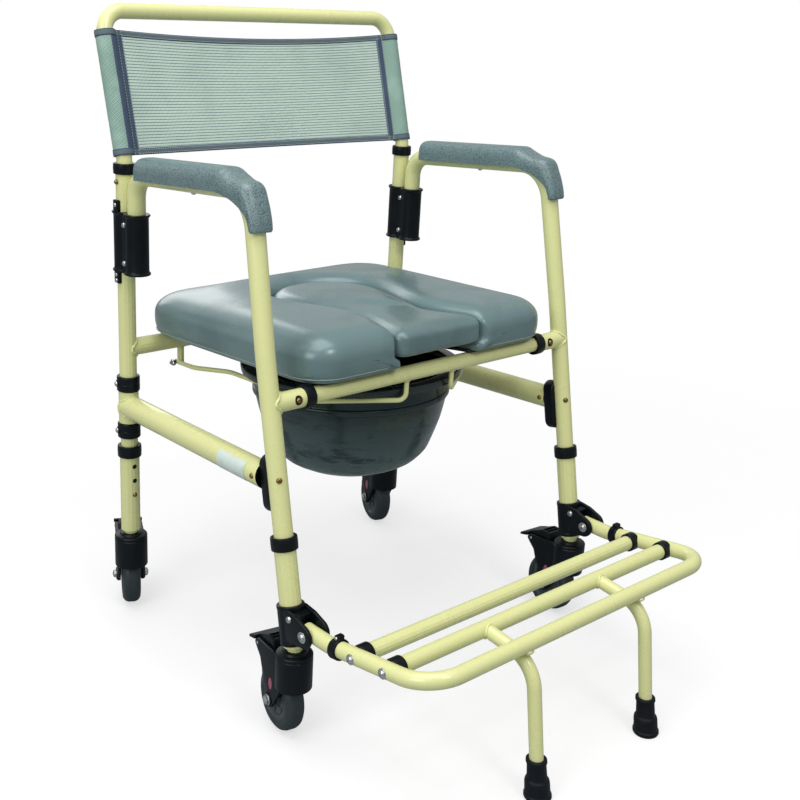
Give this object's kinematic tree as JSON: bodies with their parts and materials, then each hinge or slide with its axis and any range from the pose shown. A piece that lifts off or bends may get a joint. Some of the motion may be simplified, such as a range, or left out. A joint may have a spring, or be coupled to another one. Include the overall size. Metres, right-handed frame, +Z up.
{
  "type": "wheeled commode chair",
  "caption": "Wheeled commode chair on braked casters, with a cushioned lift-up seat and plug, a pan on wire rails, padded arms, a slung back and a folding footrest.",
  "frame": {"origin": "on the floor under the middle of the chair, footrest and rear casters included", "axes": "+Z up, the sitter faces -Y, +X is the right side seen from the front"},
  "size_m": [0.5353, 0.722, 0.7902],
  "materials": {
    "cream_steel": "satin",
    "black_plastic": "satin",
    "seat_foam": "satin moulded foam skin",
    "arm_foam": "textured moulded foam skin",
    "sling_mesh": "ribbed mesh",
    "pan_plastic": "gloss",
    "tyre_grey": "matt",
    "rubber": "matt"
  },
  "bodies": {
    "main_frame": {"rear_frame": "cream_steel", "front_crossbar": "cream_steel", "front_leg_left": "cream_steel", "side_rail_left": "cream_steel", "pan_rail_left": "cream_steel", "crossbar_collar_left": "black_plastic", "arm_bracket_left": "black_plastic", "armrest_pad_left": "arm_foam", "back_collar_left": "black_plastic", "pivot_collar_upper_left": "black_plastic", "pivot_collar_lower_left": "black_plastic", "rail_saddle_left": "black_plastic", "front_leg_right": "cream_steel", "side_rail_right": "cream_steel", "pan_rail_right": "cream_steel", "crossbar_collar_right": "black_plastic", "arm_bracket_right": "black_plastic", "armrest_pad_right": "arm_foam", "back_collar_right": "black_plastic", "pivot_collar_upper_right": "black_plastic", "pivot_collar_lower_right": "black_plastic", "rail_saddle_right": "black_plastic"},
    "backrest": {"back_hoop": "cream_steel", "back_sling": "sling_mesh"},
    "seat": {"seat_cushion": "seat_foam"},
    "plug": {"seat_plug": "seat_foam"},
    "pan": {"commode_pan": "pan_plastic"},
    "footrest": {"footrest_frame": "cream_steel", "footrest_slat": "cream_steel", "footrest_ladder": "cream_steel", "foot_tip_left": "rubber", "foot_tip_right": "rubber"},
    "leg_extension_front_left": {"lower_leg_front_left": "cream_steel", "leg_collar_front_left": "black_plastic", "footrest_bracket_left": "black_plastic"},
    "caster_front_left": {"caster_fork_front_left": "black_plastic"},
    "wheel_front_left": {"caster_wheel_front_left": "tyre_grey"},
    "pedal_front_left": {"brake_pedal_front_left": "black_plastic"},
    "leg_extension_front_right": {"lower_leg_front_right": "cream_steel", "leg_collar_front_right": "black_plastic", "footrest_bracket_right": "black_plastic"},
    "caster_front_right": {"caster_fork_front_right": "black_plastic"},
    "wheel_front_right": {"caster_wheel_front_right": "tyre_grey"},
    "pedal_front_right": {"brake_pedal_front_right": "black_plastic"},
    "leg_extension_rear_left": {"lower_leg_rear_left": "cream_steel", "leg_collar_rear_left": "black_plastic"},
    "caster_rear_left": {"caster_fork_rear_left": "black_plastic"},
    "wheel_rear_left": {"caster_wheel_rear_left": "tyre_grey"},
    "pedal_rear_left": {"brake_pedal_rear_left": "black_plastic"},
    "leg_extension_rear_right": {"lower_leg_rear_right": "cream_steel", "leg_collar_rear_right": "black_plastic"},
    "caster_rear_right": {"caster_fork_rear_right": "black_plastic"},
    "wheel_rear_right": {"caster_wheel_rear_right": "tyre_grey"},
    "pedal_rear_right": {"brake_pedal_rear_right": "black_plastic"}
  },
  "joints": [
    {"name": "leg_height_front_left", "type": "slide", "parent": "main_frame", "child": "leg_extension_front_left", "axis": [0, -0.1994, -0.9799], "range_m": [0, 0.04]},
    {"name": "caster_swivel_front_left", "type": "hinge", "parent": "leg_extension_front_left", "child": "caster_front_left", "pos_m": [-0.2412, -0.09207, 0.068], "axis": [0, 0, 1], "continuous": true},
    {"name": "wheel_spin_front_left", "type": "hinge", "parent": "caster_front_left", "child": "wheel_front_left", "pos_m": [-0.23605, -0.06557, 0.04], "axis": [0.9816, -0.1908, 0], "continuous": true},
    {"name": "brake_front_left", "type": "hinge", "parent": "caster_front_left", "child": "pedal_front_left", "pos_m": [-0.23013, -0.03513, 0.0985], "axis": [0.9816, -0.1908, 0], "range_deg": [0, 5.5]},
    {"name": "leg_height_front_right", "type": "slide", "parent": "main_frame", "child": "leg_extension_front_right", "axis": [0, -0.1994, -0.9799], "range_m": [0, 0.04]},
    {"name": "caster_swivel_front_right", "type": "hinge", "parent": "leg_extension_front_right", "child": "caster_front_right", "pos_m": [0.2412, -0.09207, 0.068], "axis": [0, 0, 1], "continuous": true},
    {"name": "wheel_spin_front_right", "type": "hinge", "parent": "caster_front_right", "child": "wheel_front_right", "pos_m": [0.24402, -0.06522, 0.04], "axis": [0.9945, -0.1045, 0], "continuous": true},
    {"name": "brake_front_right", "type": "hinge", "parent": "caster_front_right", "child": "pedal_front_right", "pos_m": [0.24726, -0.03439, 0.0985], "axis": [0.9945, -0.1045, 0], "range_deg": [0, 5.5]},
    {"name": "leg_height_rear_left", "type": "slide", "parent": "main_frame", "child": "leg_extension_rear_left", "axis": [0, 0, -1], "range_m": [0, 0.04]},
    {"name": "caster_swivel_rear_left", "type": "hinge", "parent": "leg_extension_rear_left", "child": "caster_rear_left", "pos_m": [-0.229, 0.28033, 0.068], "axis": [0, 0, 1], "continuous": true},
    {"name": "wheel_spin_rear_left", "type": "hinge", "parent": "caster_rear_left", "child": "wheel_rear_left", "pos_m": [-0.21674, 0.30439, 0.04], "axis": [0.891, -0.454, 0], "continuous": true},
    {"name": "brake_rear_left", "type": "hinge", "parent": "caster_rear_left", "child": "pedal_rear_left", "pos_m": [-0.20267, 0.33201, 0.0985], "axis": [0.891, -0.454, 0], "range_deg": [0, 5.5]},
    {"name": "leg_height_rear_right", "type": "slide", "parent": "main_frame", "child": "leg_extension_rear_right", "axis": [0, 0, -1], "range_m": [0, 0.04]},
    {"name": "caster_swivel_rear_right", "type": "hinge", "parent": "leg_extension_rear_right", "child": "caster_rear_right", "pos_m": [0.229, 0.28033, 0.068], "axis": [0, 0, 1], "continuous": true},
    {"name": "wheel_spin_rear_right", "type": "hinge", "parent": "caster_rear_right", "child": "wheel_rear_right", "pos_m": [0.23779, 0.30586, 0.04], "axis": [0.9455, -0.3256, 0], "continuous": true},
    {"name": "brake_rear_right", "type": "hinge", "parent": "caster_rear_right", "child": "pedal_rear_right", "pos_m": [0.24788, 0.33517, 0.0985], "axis": [0.9455, -0.3256, 0], "range_deg": [0, 5.5]},
    {"name": "footrest_fold", "type": "hinge", "parent": "leg_extension_front_left", "child": "footrest", "pos_m": [0, -0.12217, 0.1495], "axis": [-1, 0, 0], "range_deg": [0, 90]},
    {"name": "seat_lift", "type": "hinge", "parent": "main_frame", "child": "seat", "pos_m": [0, 0.28033, 0.373], "axis": [-1, 0, 0], "range_deg": [0, 62]},
    {"name": "plug_lift", "type": "slide", "parent": "seat", "child": "plug", "axis": [0, 0.0549, 0.9985], "range_m": [0, 0.045]},
    {"name": "pan_slide", "type": "slide", "parent": "main_frame", "child": "pan", "axis": [0, 0.9987, -0.0504], "range_m": [0, 0.36]},
    {"name": "backrest_lift", "type": "slide", "parent": "main_frame", "child": "backrest", "axis": [0, 0, 1], "range_m": [0, 0.1]}
  ],
  "couplings": [
    {"joint": "leg_height_front_right", "follows": "leg_height_front_left", "ratio": 1}
  ]
}
